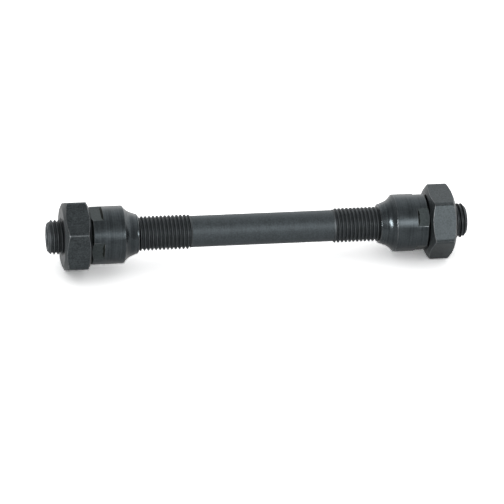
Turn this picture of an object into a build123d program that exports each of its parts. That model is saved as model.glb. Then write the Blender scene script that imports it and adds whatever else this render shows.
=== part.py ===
from build123d import *
from math import acos, cos, degrees, radians, sin, tan
import os

# Hollow front axle of a bicycle hub, with its two cones and two locknuts.
# The axle lies along X and its middle is the origin. Sizes are in millimetres, angles in degrees.

# Axle. Its length follows from the locknuts: a stub of thread stands out past each of them
axle_stub_length = 3.7
thread_diameter = 8.8
shank_diameter = 8.0
skewer_bore_diameter = 5.1
left_thread_length = 36.6
right_thread_length = 34.9
thread_runout_length = 0.7
axle_end_chamfer = 0.9
bore_mouth_chamfer = 0.3

# Fit of the threads: the gap all round between the axle and what is screwed on it
thread_clearance = 0.05

# Locknuts
over_locknut_width = 100.6
locknut_thickness = 6.85
locknut_across_flats = 17.0
locknut_corner_radius = 1.15
locknut_face_diameter = 15.1
locknut_chamfer_angle = 26.0
locknut_countersink = 0.5

# Cones
cone_length = 12.4
cone_body_diameter = 14.7
cone_lip_diameter = 10.2
cone_lip_chamfer = 0.2
cone_countersink = 0.5
cone_outer_chamfer = 0.55
race_lead_length = 1.3
race_lead_angle = 17.0
race_radius = 4.6
race_shoulder_radius = 0.6

# Wrench flats of a cone: two pairs, square to each other, cut into the outer end of its body
flats_length = 3.25
wide_flats_across = 13.4
narrow_flats_across = 13.9

# How far each piece is turned about the axle, from its flats being level
left_locknut_turn = 26.0
right_locknut_turn = 0.0
left_cone_turn = 1.5
right_cone_turn = -43.5

axle_length = over_locknut_width + 2 * axle_stub_length
locknut_outer_x = over_locknut_width / 2
locknut_inner_x = locknut_outer_x - locknut_thickness
bore_radius = thread_diameter / 2 + thread_clearance


def turned(points):
    """The solid that a closed outline of (x, radius) points sweeps about the X axis."""
    with BuildPart() as solid:
        with BuildSketch(Plane.XY):
            with BuildLine():
                Polyline(*points, close=True)
            make_face()
        revolve(axis=Axis.X)
    return solid.part


def make_axle():
    """Rod with a thread at each end, drawn at the crests, a thinner shank between them and a through bore."""
    end_x = axle_length / 2
    crest = thread_diameter / 2
    shank = shank_diameter / 2
    bore = skewer_bore_diameter / 2
    left_thread_x = -end_x + left_thread_length
    right_thread_x = end_x - right_thread_length
    return turned([
        (-end_x, bore + bore_mouth_chamfer),
        (-end_x, crest - axle_end_chamfer),
        (-end_x + axle_end_chamfer, crest),
        (left_thread_x - thread_runout_length, crest),
        (left_thread_x, shank),
        (right_thread_x, shank),
        (right_thread_x + thread_runout_length, crest),
        (end_x - axle_end_chamfer, crest),
        (end_x, crest - axle_end_chamfer),
        (end_x, bore + bore_mouth_chamfer),
        (end_x - bore_mouth_chamfer, bore),
        (-end_x + bore_mouth_chamfer, bore),
    ])


def make_locknut():
    """Right-hand locknut with a flat underneath: hexagon bar, chamfered on both faces and tapped."""
    with BuildPart() as bar:
        with BuildSketch(Plane.YZ.offset(locknut_inner_x)):
            RegularPolygon(locknut_across_flats / 2, 6, major_radius=False)
        extrude(amount=locknut_thickness)
        corners = bar.edges().filter_by(Axis.X)
        fillet(corners, locknut_corner_radius)

    face = locknut_face_diameter / 2
    corner = locknut_across_flats / 2 / cos(radians(30))
    chamfer_depth = (corner - face) * tan(radians(locknut_chamfer_angle))
    hole_mouth = bore_radius + locknut_countersink
    blank = turned([
        (locknut_inner_x, hole_mouth),
        (locknut_inner_x, face),
        (locknut_inner_x + chamfer_depth, corner),
        (locknut_outer_x - chamfer_depth, corner),
        (locknut_outer_x, face),
        (locknut_outer_x, hole_mouth),
        (locknut_outer_x - locknut_countersink, bore_radius),
        (locknut_inner_x + locknut_countersink, bore_radius),
    ])
    return bar.part & blank


def make_cone():
    """Right-hand cone, its race towards the middle of the axle and its flats against the locknut."""
    outer_x = locknut_inner_x
    inner_x = outer_x - cone_length
    body = cone_body_diameter / 2
    lip = cone_lip_diameter / 2
    lead_x = inner_x + race_lead_length
    lead_radius = lip + (race_lead_length - cone_lip_chamfer) * tan(radians(race_lead_angle))
    shoulder_angle = degrees(acos(cos(radians(race_lead_angle)) - (body - lead_radius) / race_radius))
    race_end_x = lead_x + race_radius * (sin(radians(shoulder_angle)) - sin(radians(race_lead_angle)))

    with BuildPart() as cone:
        with BuildSketch(Plane.XY):
            with BuildLine():
                Polyline((inner_x, bore_radius), (inner_x, lip - cone_lip_chamfer),
                         (inner_x + cone_lip_chamfer, lip), (lead_x, lead_radius))
                JernArc((lead_x, lead_radius),
                        (cos(radians(race_lead_angle)), sin(radians(race_lead_angle))),
                        race_radius, shoulder_angle - race_lead_angle)
                Polyline((race_end_x, body), (outer_x - cone_outer_chamfer, body),
                         (outer_x, body - cone_outer_chamfer), (outer_x, bore_radius + cone_countersink),
                         (outer_x - cone_countersink, bore_radius), (inner_x, bore_radius))
            make_face()
        revolve(axis=Axis.X)
        shoulder = cone.edges().filter_by(GeomType.CIRCLE).filter_by(
            lambda edge: abs(edge.radius - body) < 0.001).sort_by(Axis.X)[0]
        fillet(shoulder, race_shoulder_radius)

    flats_middle = Location((outer_x - flats_length / 2, 0, 0))
    around = Box(flats_length, 2 * cone_body_diameter, 2 * cone_body_diameter)
    kept = Box(flats_length, narrow_flats_across, wide_flats_across)
    return cone.part - flats_middle * (around - kept)


def on_right(piece, turn):
    """Turn a right-hand piece about the axle."""
    return Rot(X=turn) * piece


def on_left(piece, turn):
    """Face a right-hand piece the other way, then turn it about the axle."""
    return Rot(X=turn) * Rot(Z=180) * piece


cone = make_cone()
locknut = make_locknut()

pieces = {
    "axle": make_axle(),
    "left_cone": on_left(cone, left_cone_turn),
    "right_cone": on_right(cone, right_cone_turn),
    "left_locknut": on_left(locknut, left_locknut_turn),
    "right_locknut": on_right(locknut, right_locknut_turn),
}

os.makedirs("parts", exist_ok=True)
for name, piece in pieces.items():
    export_step(piece, f"parts/{name}.step")
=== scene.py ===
# A front hub axle for a bicycle, lying on a white bench: hollow threaded axle, two cones and two locknuts.
# The axle lies along X with its middle at the origin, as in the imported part. Sizes are written in
# millimetres and become metres where a mesh, a lamp or the camera is made.

from math import acos, ceil, cos, degrees, floor, hypot, pi, radians, sin, sqrt, tan

import bmesh
import bpy
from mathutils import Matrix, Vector


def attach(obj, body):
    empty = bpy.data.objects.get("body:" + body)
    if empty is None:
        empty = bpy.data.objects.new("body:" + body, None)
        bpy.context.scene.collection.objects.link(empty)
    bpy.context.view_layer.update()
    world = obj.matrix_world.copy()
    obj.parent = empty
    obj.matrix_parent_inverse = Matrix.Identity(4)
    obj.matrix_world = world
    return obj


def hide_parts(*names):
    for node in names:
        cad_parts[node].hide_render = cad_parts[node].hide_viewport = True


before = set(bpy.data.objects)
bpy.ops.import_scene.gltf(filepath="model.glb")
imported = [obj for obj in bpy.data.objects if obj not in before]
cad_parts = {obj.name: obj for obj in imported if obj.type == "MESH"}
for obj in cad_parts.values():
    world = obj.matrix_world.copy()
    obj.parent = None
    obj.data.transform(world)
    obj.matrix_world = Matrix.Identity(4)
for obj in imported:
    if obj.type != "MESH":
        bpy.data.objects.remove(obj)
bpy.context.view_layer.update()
scene = bpy.context.scene
mm = 0.001


# Axle
# A steel rod with an M9 x 1 thread rolled on from each end and a plain turned shank between the threads.
# It is drilled right through for the skewer of a quick release, chamfered at its ends and blackened.

axle_end_x = 54.0
left_thread_end_x = -17.4
right_thread_end_x = 19.1
shank_radius = 4.0
skewer_bore_radius = 2.55
end_chamfer = 0.9
bore_chamfer = 0.3
runout_slope = 0.65

pitch = 1.0
crest_radius = 4.4
root_radius = 3.85
crest_wear = 0.15
bare_steel = (0.33, 0.34, 0.35, 1)
full_wear_bend = radians(50)
smooth_bend = radians(35)
seam = 1e-7
rows_per_pitch = 12
around = 72


class Wire:
    """An output socket of a node. Sums on wires add their Math nodes, and node() adds any other node."""

    def __init__(self, tree, socket=None):
        self.tree = tree
        self.socket = socket

    def node(self, kind, inputs=(), output=0, stops=(), **settings):
        """Add a node: its settings first, then the value or wire of each input. Gives the named outputs."""
        made = self.tree.nodes.new(kind)
        for name, value in settings.items():
            setattr(made, name, value)
        for place, (position, grey) in enumerate(stops):
            ramp = made.color_ramp.elements
            stop = ramp[place] if place < len(ramp) else ramp.new(position)
            stop.position = position
            stop.color = (grey, grey, grey, 1)
        for name, value in dict(inputs).items():
            if isinstance(value, Wire):
                self.tree.links.new(value.socket, made.inputs[name])
            else:
                made.inputs[name].default_value = value
        if isinstance(output, tuple):
            return [Wire(self.tree, made.outputs[name]) for name in output]
        return Wire(self.tree, made.outputs[output]) if made.outputs else made

    def maths(self, operation, *values):
        return self.node("ShaderNodeMath", enumerate(values), operation=operation)

    def after(self, operation):
        return self.maths(operation, self)

    def __add__(self, other):
        return self.maths("ADD", self, other)

    def __sub__(self, other):
        return self.maths("SUBTRACT", self, other)

    def __rsub__(self, other):
        return self.maths("SUBTRACT", other, self)

    def __mul__(self, other):
        return self.maths("MULTIPLY", self, other)

    def __truediv__(self, other):
        return self.maths("DIVIDE", self, other)

    def __pow__(self, other):
        return self.maths("POWER", self, other)

    def least(self, other):
        return self.maths("MINIMUM", self, other)

    def most(self, other):
        return self.maths("MAXIMUM", self, other)

    def clamped(self):
        return self.maths("MINIMUM", self.maths("MAXIMUM", self, 0.0), 1.0)

    __radd__ = __add__


def thread_tree():
    """Node tree of a strip of V thread: a grid wound into a helix, which runs out into a round rim."""
    tree = bpy.data.node_groups.new("rolled_thread", "GeometryNodeTree")
    lengths = ("Start", "Length", "Pitch", "Crest radius", "Root radius", "First row", "Rows length",
               "Start rim radius", "Start rim slope", "End rim radius", "End rim slope", "Crest wear")
    for name in lengths:
        tree.interface.new_socket(name, in_out="INPUT", socket_type="NodeSocketFloat")
    for name in ("Rows", "Around"):
        tree.interface.new_socket(name, in_out="INPUT", socket_type="NodeSocketInt")
    tree.interface.new_socket("Material", in_out="INPUT", socket_type="NodeSocketMaterial")
    tree.interface.new_socket("Geometry", in_out="OUTPUT", socket_type="NodeSocketGeometry")

    graph = Wire(tree)
    (start, length, step, crest, root, first_row, rows_length, start_rim, start_slope, end_rim, end_slope,
     wear, rows, segments, material) = graph.node(
        "NodeGroupInput", output=lengths + ("Rows", "Around", "Material"))
    strip, place = graph.node("GeometryNodeMeshGrid", {"Vertices X": rows + 1, "Vertices Y": segments + 1},
                              output=("Mesh", "UV Map"))
    along, turn = graph.node("ShaderNodeSeparateXYZ", {0: place}, output=("X", "Y"))

    end = start + length
    x = (first_row + along * rows_length + turn * step).most(start).least(end)
    root_from_crest = 5 / 12
    flank_rise = 3
    worn_from_crest = 1.5 / 12
    worn_rise = 24
    turns_from_crest = (x / step - turn + 0.5).after("FRACT") - 0.5
    from_crest = turns_from_crest.after("ABSOLUTE")
    height = ((root_from_crest - from_crest) * flank_rise).clamped()
    from_start = x - start
    to_end = end - x
    highest = (start_rim + start_slope * from_start).least(end_rim + end_slope * to_end)
    lowest = (start_rim - start_slope * from_start).most(end_rim - end_slope * to_end)
    radius = (root + (crest - root) * height).most(lowest).least(highest)
    angle = turn * (2 * pi)
    point = graph.node("ShaderNodeCombineXYZ", {0: x, 1: radius * angle.after("COSINE"),
                                                2: radius * angle.after("SINE")})
    worn = wear * ((worn_from_crest - from_crest) * worn_rise).clamped()

    strip = graph.node("GeometryNodeSetPosition", {"Geometry": strip, "Position": point})
    strip = graph.node("GeometryNodeStoreNamedAttribute",
                       {"Geometry": strip, "Name": "worn", "Value": worn}, data_type="FLOAT", domain="POINT")
    strip = graph.node("GeometryNodeMergeByDistance", {"Geometry": strip, "Distance": seam})
    strip = graph.node("GeometryNodeSetShadeSmooth", {"Geometry": strip, "Shade Smooth": True})
    strip = graph.node("GeometryNodeRealizeInstances", {"Geometry": strip})
    strip = graph.node("GeometryNodeSetMaterial", {"Geometry": strip, "Material": material})
    graph.node("NodeGroupOutput", {"Geometry": strip})
    return tree


thread_nodes = thread_tree()


def thread(start_x, end_x, start_rim, end_rim, crest, root, wear, material):
    """Mesh of the thread between two round rims, each given as its radius and the slope that leads to it."""
    first_row = (floor(start_x / pitch) - 1) * pitch
    turns = ceil((end_x - first_row) / pitch)
    sizes = {
        "Start": start_x * mm, "Length": (end_x - start_x) * mm, "Pitch": pitch * mm,
        "Crest radius": crest * mm, "Root radius": root * mm,
        "First row": first_row * mm, "Rows length": turns * pitch * mm,
        "Rows": turns * rows_per_pitch, "Around": around,
        "Start rim radius": start_rim[0] * mm, "Start rim slope": start_rim[1],
        "End rim radius": end_rim[0] * mm, "End rim slope": end_rim[1],
        "Crest wear": wear, "Material": material,
    }
    holder = bpy.data.objects.new("thread", bpy.data.meshes.new("thread"))
    scene.collection.objects.link(holder)
    modifier = holder.modifiers.new("thread", "NODES")
    modifier.node_group = thread_nodes
    for item in thread_nodes.interface.items_tree:
        if item.in_out == "INPUT":
            modifier[item.identifier] = sizes[item.name]
    graph = bpy.context.evaluated_depsgraph_get()
    mesh = bpy.data.meshes.new_from_object(holder.evaluated_get(graph))
    bpy.data.objects.remove(holder)
    return mesh


def rounded(corners, steps=4, guard=0.25, most_eased=0.45):
    """Outline of (x, radius, rounding) corners, each corner eased into a small arc with a row either side.

    Gives (x, radius, worn) points. The outline runs from the outer end inwards, so that a left turn is an
    edge, which wears, and a right turn is an inner corner, which doesn't.
    """
    points = []
    for place, (x, r, rounding) in enumerate(corners):
        if place in (0, len(corners) - 1) or rounding == 0:
            points.append((x, r, 0.0))
            continue
        here = Vector((x, r))
        back = Vector(corners[place - 1][:2]) - here
        on = Vector(corners[place + 1][:2]) - here
        room = most_eased * min(back.length, on.length)
        bend = 0.0
        if room > 1e-6:
            bend = (-on).angle_signed(back, 0.0)
            back.normalize()
            on.normalize()
        reach = min(rounding, room)
        keep = min(reach + guard, max(room, reach))
        worn = min(1.0, max(0.0, bend) / full_wear_bend) * min(1.0, room / (2 * rounding))
        points.append((*(here + back * keep), 0.0))
        for step in range(steps + 1):
            s = step / steps
            at = here + back * reach * (1 - s) ** 2 + on * reach * s ** 2
            points.append((*at, worn * 4 * s * (1 - s)))
        points.append((*(here + on * keep), 0.0))
    return points


def skin(solid, angles, outline_at, side=1):
    """Faces of a turned skin: the outline at each angle, joined to the next. side is -1 for the left end."""
    worn_layer = solid.verts.layers.float["worn"]
    columns = []
    for angle in angles:
        column = []
        for x, r, worn in outline_at(angle):
            vertex = solid.verts.new((side * x * mm, r * cos(angle) * mm, r * sin(angle) * mm))
            vertex[worn_layer] = worn
            column.append(vertex)
        columns.append(column)
    for column, beside in zip(columns, columns[1:] + columns[:1]):
        for low, high, beside_high, beside_low in zip(column, column[1:], beside[1:], beside):
            solid.faces.new((low, high, beside_high, beside_low)[::side])


def new_solid():
    solid = bmesh.new()
    solid.verts.layers.float.new("worn")
    return solid


def finished(name, solid, materials, node):
    """Close the seams of a piece, face it outwards, and let it stand for its CAD node."""
    bmesh.ops.remove_doubles(solid, verts=solid.verts, dist=seam)
    rims = [edge for edge in solid.edges if edge.is_boundary]
    for x in sorted({round(edge.verts[0].co.x, 6) for edge in rims}):
        bmesh.ops.bridge_loops(solid, edges=[e for e in rims if abs(e.verts[0].co.x - x) < 1e-6])
    bmesh.ops.recalc_face_normals(solid, faces=solid.faces)
    for face in solid.faces:
        face.smooth = True
    for edge in solid.edges:
        edge.smooth = edge.calc_face_angle(0.0) < smooth_bend
    mesh = bpy.data.meshes.new(name)
    solid.to_mesh(mesh)
    solid.free()
    for material in materials:
        mesh.materials.append(material)
    piece = bpy.data.objects.new(name, mesh)
    scene.collection.objects.link(piece)
    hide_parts(node)
    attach(piece, node)


def blackened_steel(name, dark, light, roughness, lined=0.2, drawn_flats=False, ground_to=0.0):
    """Steel with a black oxide finish: turning marks, a mottled coat, and bare steel where its edges rub.

    lined is how far the coat follows the marks in place of its grain. drawn_flats gives the sides the
    lengthwise lines of drawn bar, and the surface is ground smooth as far from the middle as ground_to.
    """
    material = bpy.data.materials.new(name)
    material.use_nodes = True
    material.node_tree.nodes.clear()
    graph = Wire(material.node_tree)
    place = graph.node("ShaderNodeTexCoord", output="Object")
    x, y, z = graph.node("ShaderNodeSeparateXYZ", {0: place}, output=("X", "Y", "Z"))
    radius = (y * y + z * z) ** 0.5

    fine_scale = 2600
    ring_scale = 60
    ring_place = graph.node("ShaderNodeCombineXYZ",
                            {0: x * fine_scale, 1: radius * fine_scale, 2: (y - z) * ring_scale})
    marks = graph.node("ShaderNodeTexNoise", {"Vector": ring_place, "Scale": 1.0, "Detail": 3.0},
                       output="Fac")
    if drawn_flats:
        angle = z.maths("ARCTAN2", z, y)
        bar_scale = 400
        bar_turn_scale = 24
        drawn_place = graph.node("ShaderNodeCombineXYZ", {0: x * bar_scale, 1: angle * bar_turn_scale})
        drawn = graph.node("ShaderNodeTexNoise", {"Vector": drawn_place, "Scale": 1.0, "Detail": 3.0},
                           output="Fac")
        normal = graph.node("ShaderNodeNewGeometry", output="True Normal")
        facing = graph.node("ShaderNodeSeparateXYZ", {0: normal}, output="X")
        on_face = ((facing.after("ABSOLUTE") - 0.2) * 8).clamped()
        marks = marks * on_face + drawn * (1 - on_face)

    grain = graph.node("ShaderNodeTexNoise", {"Vector": place, "Scale": float(fine_scale), "Detail": 3.0},
                       output="Fac")
    mottle = graph.node("ShaderNodeTexNoise", {"Vector": place, "Scale": 500.0, "Detail": 2.0}, output="Fac")
    mottle = mottle * 0.2 + grain * (0.8 - lined) + marks * lined
    mottle = graph.node("ShaderNodeValToRGB", {"Fac": mottle}, stops=((0.4, 0.0), (0.6, 1.0)))
    coat = graph.node("ShaderNodeMix", {0: mottle, 6: (*dark, 1), 7: (*light, 1)}, output=2, data_type="RGBA")

    rubbed = graph.node("ShaderNodeAttribute", output="Fac", attribute_name="worn")
    patches = graph.node("ShaderNodeTexNoise", {"Vector": place, "Scale": 900.0, "Detail": 3.0}, output="Fac")
    bare = (rubbed * (patches * 2.4 - 0.55)).clamped() * 0.55
    colour = graph.node("ShaderNodeMix", {0: bare, 6: coat, 7: bare_steel}, output=2, data_type="RGBA")

    bump = graph.node("ShaderNodeBump", {"Strength": 0.35, "Distance": 6e-6, "Height": marks + grain * 0.5},
                      output="Normal")
    rough = roughness + (mottle - 0.5) * 0.07 - bare * 0.12 + (marks - 0.5) * 0.1
    if ground_to:
        ground = ((ground_to * mm - x.after("ABSOLUTE")) * 4000).clamped()
        rough = rough - ground * 0.1
    shader = graph.node("ShaderNodeBsdfPrincipled", {
        "Base Color": colour,
        "Metallic": 1.0,
        "Roughness": rough,
        "Normal": bump,
    })
    graph.node("ShaderNodeOutputMaterial", {"Surface": shader})
    return material


axle_steel = blackened_steel("blackened_axle", (0.052, 0.060, 0.064), (0.074, 0.086, 0.093), 0.54)
thread_steel = blackened_steel("blackened_thread", (0.046, 0.051, 0.053), (0.066, 0.074, 0.079), 0.54)

even_angles = [2 * pi * step / around for step in range(around)]
rim_inset = 0.1
rim_x = axle_end_x - rim_inset
rim_radius = crest_radius - end_chamfer + rim_inset
axle = new_solid()
axle.from_mesh(thread(-rim_x, left_thread_end_x, (rim_radius, 1.0), (shank_radius, runout_slope),
                      crest_radius, root_radius, crest_wear, thread_steel))
axle.from_mesh(thread(right_thread_end_x, rim_x, (shank_radius, runout_slope), (rim_radius, 1.0),
                      crest_radius, root_radius, crest_wear, thread_steel))
for face in axle.faces:
    face.material_index = 1

shank_guard = 0.15
shank_spans = 6
shank_length = right_thread_end_x - left_thread_end_x
shank_rows = [shank_length * step / shank_spans for step in range(1, shank_spans)]
shank_places = [0.0, shank_guard, *shank_rows, shank_length - shank_guard, shank_length]
shank = [(left_thread_end_x + place, shank_radius, 0) for place in shank_places]
skin(axle, even_angles, lambda angle: shank)
axle_end = rounded([
    (0.0, skewer_bore_radius, 0),
    (axle_end_x - bore_chamfer, skewer_bore_radius, 0.08),
    (axle_end_x, skewer_bore_radius + bore_chamfer, 0.05),
    (axle_end_x, rim_radius - rim_inset, 0.08),
    (rim_x, rim_radius, 0),
])
for side in (-1, 1):
    skin(axle, even_angles, lambda angle: axle_end, side)
finished("threaded_axle", axle, (axle_steel, thread_steel), "axle")


# Cones
# Each cone is turned from bar and hardened. Its concave race faces the middle of the axle, and four flats
# are milled into the outer end of its body for a thin spanner. It is tapped and screwed on up to its locknut.

cone_outer_x = 43.45
cone_inner_x = 31.05
body_radius = 7.35
body_chamfer = 0.55
least_chamfer = 0.08
flats_inner_x = 40.2
step_run = 0.5
flat_distances = (6.95, 6.7)
flat_edge_turn = 0.018
flat_edge_wear = 0.5
flat_margin = 0.02
shoulder_land = 0.9
lip_rim_width = 0.15
lip_radius = 5.1
lip_chamfer = 0.2
lip_land = 0.35
lip_land_rise = 0.025
lead_end_x = 32.35
lead_angle = 17.0
race_radius = 4.6
race_shares = (0, 0.12, 0.25, 0.38, 0.5, 0.62, 0.74, 0.86, 1)
tapped_crest_radius = 4.45
tapped_root_radius = 3.96
tapped_mouth_radius = 4.95
tapped_rim_width = 0.35


def race():
    """The race from the lip's side up to the corner of the shoulder, as (x, radius) points."""
    lead_radius = lip_radius + (lead_end_x - cone_inner_x - lip_chamfer) * tan(radians(lead_angle))
    shoulder_angle = degrees(acos(cos(radians(lead_angle)) - (body_radius - lead_radius) / race_radius))
    points = []
    for share in race_shares:
        angle = radians(lead_angle + share * (shoulder_angle - lead_angle))
        points.append((lead_end_x + race_radius * (sin(angle) - sin(radians(lead_angle))),
                       lead_radius + race_radius * (cos(radians(lead_angle)) - cos(angle))))
    return points


race_points = race()


def cone_outline(angle, turn):
    """Outline of a cone at one angle, from the outer face in to the lip."""
    quarter = round((angle - turn) / (pi / 2))
    off_flat = angle - turn - quarter * pi / 2
    distance = flat_distances[quarter % 2]
    flat_radius = min(body_radius, distance / cos(off_flat))
    corners = [
        (cone_outer_x, tapped_mouth_radius + tapped_rim_width, 0),
        (cone_outer_x, min(flat_radius - least_chamfer, body_radius - body_chamfer), 0.06),
        (cone_outer_x - max(least_chamfer, flat_radius - body_radius + body_chamfer), flat_radius, 0.06),
        (flats_inner_x + min(step_run, body_radius - flat_radius), flat_radius, 0.04),
        (flats_inner_x, body_radius, 0.07),
        (race_points[-1][0] + shoulder_land, body_radius, 0),
        (*race_points[-1], 0.3),
        *((x, r, 0) for x, r in race_points[-2::-1]),
        (cone_inner_x + lip_chamfer + lip_land, lip_radius + lip_land_rise, 0.08),
        (cone_inner_x + lip_chamfer, lip_radius, 0.08),
        (cone_inner_x, lip_radius - lip_chamfer, 0.1),
        (cone_inner_x, tapped_crest_radius + lip_rim_width, 0),
    ]
    on_edge = abs(abs(off_flat) - acos(distance / body_radius)) < 0.5 * flat_edge_turn
    edge_wear = flat_edge_wear if on_edge else 0.0
    return [(x, r, max(worn, edge_wear if x > flats_inner_x + step_run else 0.0))
            for x, r, worn in rounded(corners)]


def cone_angles(turn):
    """The angles at which a cone's outline is made: closer together at the edges of its flats."""
    angles = []
    for quarter in range(4):
        edge = acos(flat_distances[quarter % 2] / body_radius)
        flat = [edge * share / 8 for share in range(-7, 8)]
        flat += [way * (edge + more) for way in (-1, 1) for more in (-flat_edge_turn, 0, flat_edge_turn)]
        next_edge = acos(flat_distances[(quarter + 1) % 2] / body_radius)
        between = [edge + (pi / 2 - edge - next_edge) * share / 10 for share in range(1, 10)]
        angles += [turn + quarter * pi / 2 + angle for angle in flat + between]
    return sorted(angles)


def tapped_hole(solid, start_x, end_x, start_radius, end_radius, material):
    solid.from_mesh(thread(start_x, end_x, (start_radius, 1.0), (end_radius, 1.0),
                           tapped_crest_radius, tapped_root_radius, 0.0, material))


cone_steel = blackened_steel("blackened_cone", (0.034, 0.040, 0.043), (0.058, 0.067, 0.072), 0.34,
                             lined=0.5, ground_to=35.1)
milled_steel = blackened_steel("blackened_flats", (0.034, 0.041, 0.042), (0.052, 0.061, 0.062), 0.45)
# Near-black coat for the slanted step at the foot of each flat: painted shade, which darkens the step into a
# dark line.
painted_step_shade_steel = blackened_steel("painted_step_shade", (0.009, 0.011, 0.010), (0.019, 0.023, 0.020), 0.6)

for side, turn_degrees, node in ((-1, 1.5, "left_cone"), (1, -43.5, "right_cone")):
    turn = radians(turn_degrees)
    cone = new_solid()
    skin(cone, cone_angles(turn), lambda angle: cone_outline(angle, turn), side)
    for face in cone.faces:
        middle = face.calc_center_median()
        if abs(middle.x) > flats_inner_x * mm and middle.yz.length < (body_radius - flat_margin) * mm:
            # The step's faces take the painted shade coat, and the rest of each flat takes the milled coat.
            in_corner = abs(middle.x) < (flats_inner_x + step_run) * mm
            face.material_index = 2 if in_corner else 1
    ends = sorted([(side * cone_inner_x, tapped_crest_radius), (side * cone_outer_x, tapped_mouth_radius)])
    tapped_hole(cone, ends[0][0], ends[1][0], ends[0][1], ends[1][1], cone_steel)
    finished(node + "_turned", cone, (cone_steel, milled_steel, painted_step_shade_steel), node)


# Locknuts
# Plain hexagon nuts, 17 mm across flats, cut from drawn bar. Both faces are chamfered on the lathe, which
# leaves a curved edge on each flat. The nut is tapped M9 x 1, blackened and tightened against its cone.

nut_outer_x = 50.3
nut_inner_x = 43.45
nut_apothem = 8.5
nut_corner_rounding = 1.15
nut_corner_wear = 0.3
worn_corner_share = 0.4
nut_flat_margin = 0.01
beside_corner = 0.025
nut_face_radius = 7.55
nut_chamfer_angle = 26.0
nut_corner_centre = (nut_apothem - nut_corner_rounding) / cos(radians(30))
nut_corner_reach = radians(30) - acos(nut_apothem / hypot(
    nut_corner_centre + nut_corner_rounding * cos(radians(30)), nut_corner_rounding / 2))


def nut_outline(angle, turn):
    """Outline of a nut at one angle, from the outer face over the flat or the corner to the inner face."""
    off_corner = abs((angle - turn + pi / 6) % (pi / 3) - pi / 6)
    if off_corner < nut_corner_reach - 1e-9:
        across = nut_corner_centre * sin(off_corner)
        reach = nut_corner_centre * cos(off_corner) + sqrt(nut_corner_rounding ** 2 - across ** 2)
    else:
        reach = nut_apothem / cos(pi / 6 - off_corner)
    slope = (reach - nut_face_radius) * tan(radians(nut_chamfer_angle))
    corners = [
        (nut_outer_x, tapped_mouth_radius + tapped_rim_width, 0),
        (nut_outer_x, nut_face_radius, 0.1),
        (nut_outer_x - slope, reach, 0.1),
        (nut_inner_x + slope, reach, 0.1),
        (nut_inner_x, nut_face_radius, 0.1),
        (nut_inner_x, tapped_mouth_radius + tapped_rim_width, 0),
    ]
    corner_wear = nut_corner_wear if off_corner < worn_corner_share * nut_corner_reach else 0.0
    return [(x, r, max(worn, corner_wear if r > reach - nut_flat_margin else 0.0))
            for x, r, worn in rounded(corners)]


def nut_angles(turn):
    """The angles at which a nut's outline is made: closer together round its corners."""
    corner = [0, 0.5 * nut_corner_reach, nut_corner_reach, nut_corner_reach + beside_corner]
    flat = [radians(degree) for degree in (6, 12, 18, 24, 30)]
    half = corner + flat
    angles = {round(turn + sixth * pi / 3 + way * angle, 9)
              for sixth in range(6) for way in (-1, 1) for angle in half}
    full_turn = 2 * pi
    kept = {}
    for angle in angles:
        kept.setdefault(round(angle % full_turn, 6), angle)
    return [kept[key] for key in sorted(kept)]


locknut_steel = blackened_steel("blackened_locknut", (0.032, 0.037, 0.039), (0.059, 0.068, 0.072), 0.40,
                                drawn_flats=True)

for side, turn_degrees, node in ((-1, 26.0, "left_locknut"), (1, 0.0, "right_locknut")):
    turn = radians(turn_degrees)
    nut = new_solid()
    skin(nut, nut_angles(turn), lambda angle: nut_outline(angle, turn), side)
    ends = sorted([side * nut_inner_x, side * nut_outer_x])
    tapped_hole(nut, ends[0], ends[1], tapped_mouth_radius, tapped_mouth_radius, locknut_steel)
    finished(node + "_hexagon", nut, (locknut_steel,), node)


# Bench
# A white table top, which carries the axle on the left nut's lowest corner and the right nut's lowest flat.
# The camera and shiny surfaces see it white, and it keeps the soft shadows under the nuts and cones.

left_rest = (-44.49, -9.616)
right_rest = (49.8, -8.5)
bench_half_width = 900.0
mirrored_glow = 0.15
shadow_lift = 0.07
bench_rise = (right_rest[1] - left_rest[1]) / (right_rest[0] - left_rest[0])

bench_mesh = bpy.data.meshes.new("bench")
bench_mesh.from_pydata(
    [(x * mm, y * mm, (left_rest[1] + (x - left_rest[0]) * bench_rise) * mm)
     for x, y in ((-bench_half_width, -bench_half_width), (bench_half_width, -bench_half_width),
                  (bench_half_width, bench_half_width), (-bench_half_width, bench_half_width))],
    [], [(0, 1, 2, 3)])
bench = bpy.data.objects.new("bench", bench_mesh)
scene.collection.objects.link(bench)


def rays(graph):
    """Whether the camera sends a ray, and whether it comes off a shiny surface or through a clear one."""
    camera_ray, glossy_ray, transmission_ray = graph.node(
        "ShaderNodeLightPath", output=("Is Camera Ray", "Is Glossy Ray", "Is Transmission Ray"))
    return camera_ray, (glossy_ray + transmission_ray).clamped()


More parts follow.
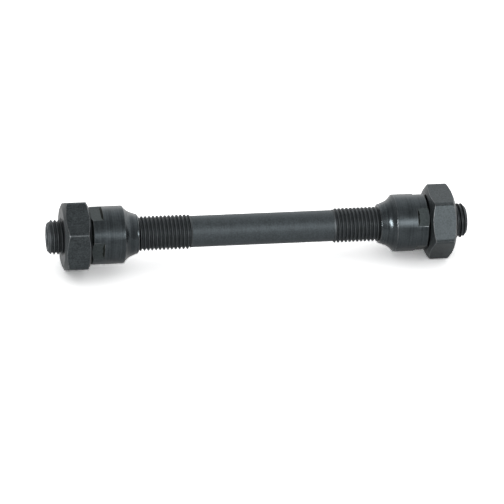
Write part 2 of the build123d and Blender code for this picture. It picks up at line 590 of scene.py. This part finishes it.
bench_white = bpy.data.materials.new("bench_white")
bench_white.use_nodes = True
bench_white.node_tree.nodes.clear()
graph = Wire(bench_white.node_tree)
camera_ray, mirrored = rays(graph)
bounced = mirrored * mirrored_glow + camera_ray * shadow_lift
glow = graph.node("ShaderNodeEmission", {"Color": (1, 1, 1, 1), "Strength": bounced})
brightness = 0.8 + camera_ray * 1.6 + mirrored * 0.45
white = graph.node("ShaderNodeCombineColor", {0: brightness, 1: brightness, 2: brightness})
matt = graph.node("ShaderNodeBsdfDiffuse", {"Color": white})
graph.node("ShaderNodeOutputMaterial", {"Surface": graph.node("ShaderNodeAddShader", {0: glow, 1: matt})})
bench_mesh.materials.append(bench_white)


# Light
# White walls all round give an even light, a soft lamp beside the camera draws the streak along the turned
# pieces, and a small lamp at the left end catches the chamfers and the races.

world = bpy.data.worlds.new("white_room")
scene.world = world
world.use_nodes = True
world.cycles.sampling_method = "NONE"
world.node_tree.nodes.clear()
graph = Wire(world.node_tree)
camera_ray, mirrored = rays(graph)
direction = graph.node("ShaderNodeTexCoord", output="Generated")
across, back = graph.node("ShaderNodeSeparateXYZ", {0: direction}, output=("X", "Y"))
behind = (across * 0.42 + back * 0.91).most(0.0)
evenly = 0.62 + behind * 0.38
strength = evenly + camera_ray * (1 - evenly) + mirrored * (0.6 + behind * 1.25 - evenly)
room = graph.node("ShaderNodeBackground", {"Color": (1, 1, 1, 1), "Strength": strength})
graph.node("ShaderNodeOutputWorld", {"Surface": room})


def lamp(name, place, width, height, power):
    data = bpy.data.lights.new(name, "AREA")
    data.shape = "RECTANGLE"
    data.size = width * mm
    data.size_y = height * mm
    data.energy = power
    holder = bpy.data.objects.new(name, data)
    holder.location = Vector(place) * mm
    holder.rotation_euler = (-holder.location).to_track_quat("-Z", "Y").to_euler()
    holder.visible_diffuse = False
    scene.collection.objects.link(holder)


lamp("front_lamp", (260, -640, 416), 260, 230, 2.0)
lamp("left_lamp", (-430, -312, 211), 120, 260, 2.6)


# Camera
# It looks down at the axle from the front, a little from the left, with a long lens.

camera_data = bpy.data.cameras.new("camera")
camera_data.sensor_width = 36.0
camera_data.lens = 235.71
camera = bpy.data.objects.new("camera", camera_data)
camera.location = Vector((-151.76, -684.12, 461.45)) * mm
camera.rotation_euler = (radians(56.141), radians(-3.741), radians(-9.916))
scene.collection.objects.link(camera)
scene.camera = camera
scene.view_settings.view_transform = "Standard"
